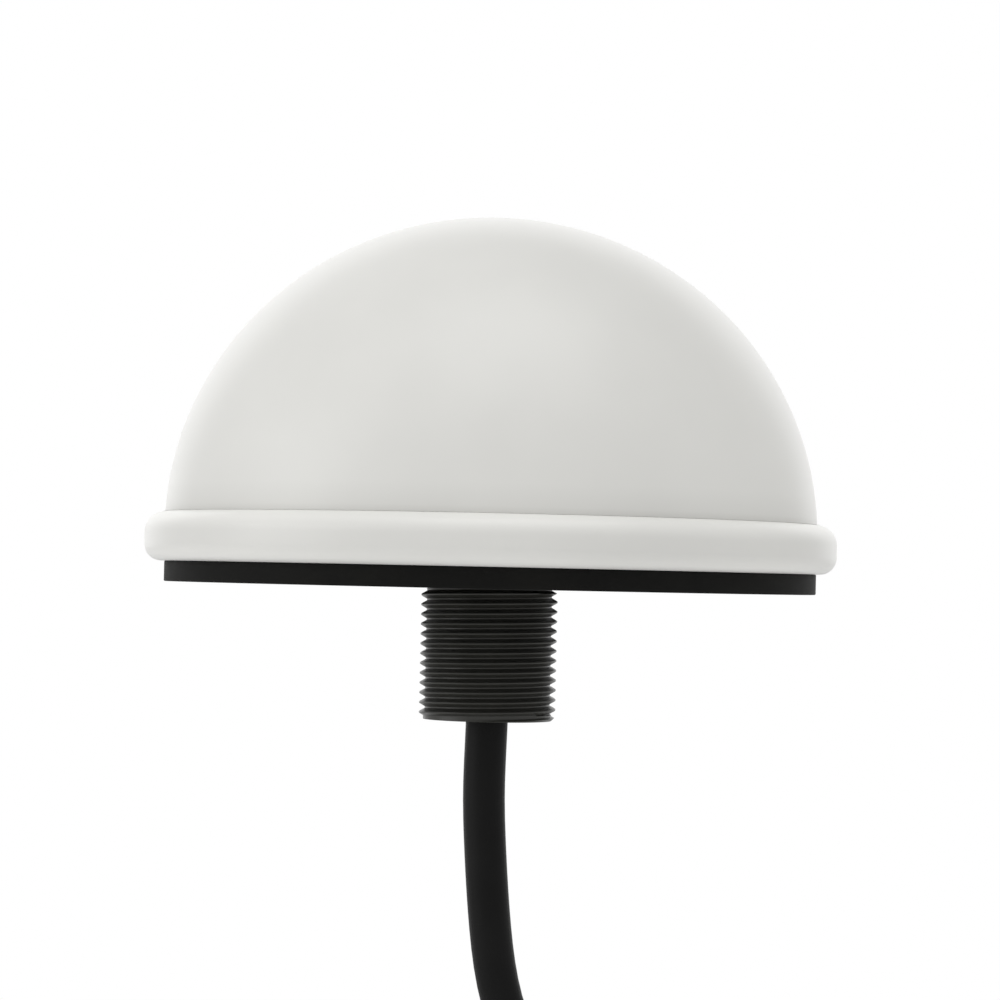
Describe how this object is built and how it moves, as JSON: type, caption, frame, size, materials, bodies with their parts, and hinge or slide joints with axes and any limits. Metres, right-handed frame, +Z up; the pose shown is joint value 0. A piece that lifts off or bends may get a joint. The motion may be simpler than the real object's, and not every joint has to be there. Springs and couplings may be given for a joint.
{
  "type": "gnss receiver",
  "caption": "Domed satellite positioning receiver: white radome with a rounded rim on a black gasket, hollow threaded stem below, and a coiled cable ending in a round connector.",
  "frame": {"origin": "centre of the gasket's underside, where the stem passes through the bracket or panel", "axes": "+Z up along the dome's and the stem's common axis, -Y the front, +X to the right of it"},
  "size_m": [0.1514, 0.1964, 0.2154],
  "materials": {
    "radome_white": "satin UV-stable plastic, very fine moulded grain",
    "base_nylon": "satin glass-filled nylon",
    "gasket_rubber": "matte sheet rubber",
    "seal_rubber": "smooth nitrile rubber",
    "screw_steel": "passivated stainless steel",
    "board_laminate": "green solder mask over glass laminate",
    "shield_tin": "bright tinned steel sheet",
    "chip_epoxy": "black moulded epoxy",
    "ferrite": "sintered ferrite",
    "capacitor_can": "drawn aluminium can",
    "cell_steel": "plated steel cell",
    "holder_nylon": "natural nylon",
    "connector_nylon": "natural nylon connector housing",
    "brass": "bright turned brass",
    "ceramic": "fired ceramic with silvered faces",
    "feed_tin": "tinned wire",
    "lead_red": "red insulation",
    "lead_black": "black insulation",
    "lead_white": "white insulation",
    "lead_blue": "blue insulation",
    "rf_jacket": "thin coaxial jacket",
    "rf_gold": "gold-plated contact",
    "grommet_rubber": "moulded rubber",
    "clamp_steel": "crimped steel band",
    "cable_jacket": "matte polyurethane jacket",
    "tie_fabric": "woven hook-and-loop tape",
    "overmould": "soft moulded grip",
    "pin_carrier": "moulded insulator",
    "coupling_nickel": "nickel-plated brass",
    "pin_gold": "gold-plated pins"
  },
  "bodies": {
    "receiver": {"radome": "radome_white", "threaded_base": "base_nylon", "mounting_gasket": "gasket_rubber", "radome_seal": "seal_rubber", "base_screw_1": "screw_steel", "base_screw_2": "screw_steel", "base_screw_3": "screw_steel", "base_screw_4": "screw_steel", "base_screw_5": "screw_steel", "base_screw_6": "screw_steel", "receiver_board": "board_laminate", "antenna_board": "board_laminate", "receiver_shield": "shield_tin", "lna_shield": "shield_tin", "processor_chip": "chip_epoxy", "power_inductor": "ferrite", "smoothing_capacitor": "capacitor_can", "backup_cell": "cell_steel", "cell_holder": "holder_nylon", "board_socket": "connector_nylon", "wire_plug": "connector_nylon", "lead_power": "lead_red", "lead_ground": "lead_black", "lead_data_high": "lead_white", "lead_data_low": "lead_blue", "standoff_1": "brass", "standoff_2": "brass", "standoff_3": "brass", "standoff_4": "brass", "board_screw_1": "screw_steel", "board_screw_2": "screw_steel", "board_screw_3": "screw_steel", "board_screw_4": "screw_steel", "lower_patch": "ceramic", "upper_patch": "ceramic", "feed_pin_lower": "feed_tin", "feed_pin_upper": "feed_tin", "rf_jumper": "rf_jacket", "rf_plug_top": "rf_gold", "rf_plug_bottom": "rf_gold", "stem_grommet": "grommet_rubber", "cable_clamp": "clamp_steel", "cable_drop": "cable_jacket", "cable_coil": "cable_jacket", "cable_tail": "cable_jacket", "coil_tie_1": "tie_fabric", "coil_tie_2": "tie_fabric", "plug_bend_relief": "overmould", "plug_body": "overmould", "plug_insert": "pin_carrier", "plug_pin_1": "pin_gold", "plug_pin_2": "pin_gold", "plug_pin_3": "pin_gold", "plug_pin_4": "pin_gold", "plug_pin_5": "pin_gold"},
    "coupling_ring": {"coupling_ring": "coupling_nickel"}
  },
  "joints": [
    {"name": "coupling_ring_spin", "type": "hinge", "parent": "receiver", "child": "coupling_ring", "pos_m": [-0.076, 0.0135, -0.1394], "axis": [0, -1, 0], "continuous": true}
  ]
}
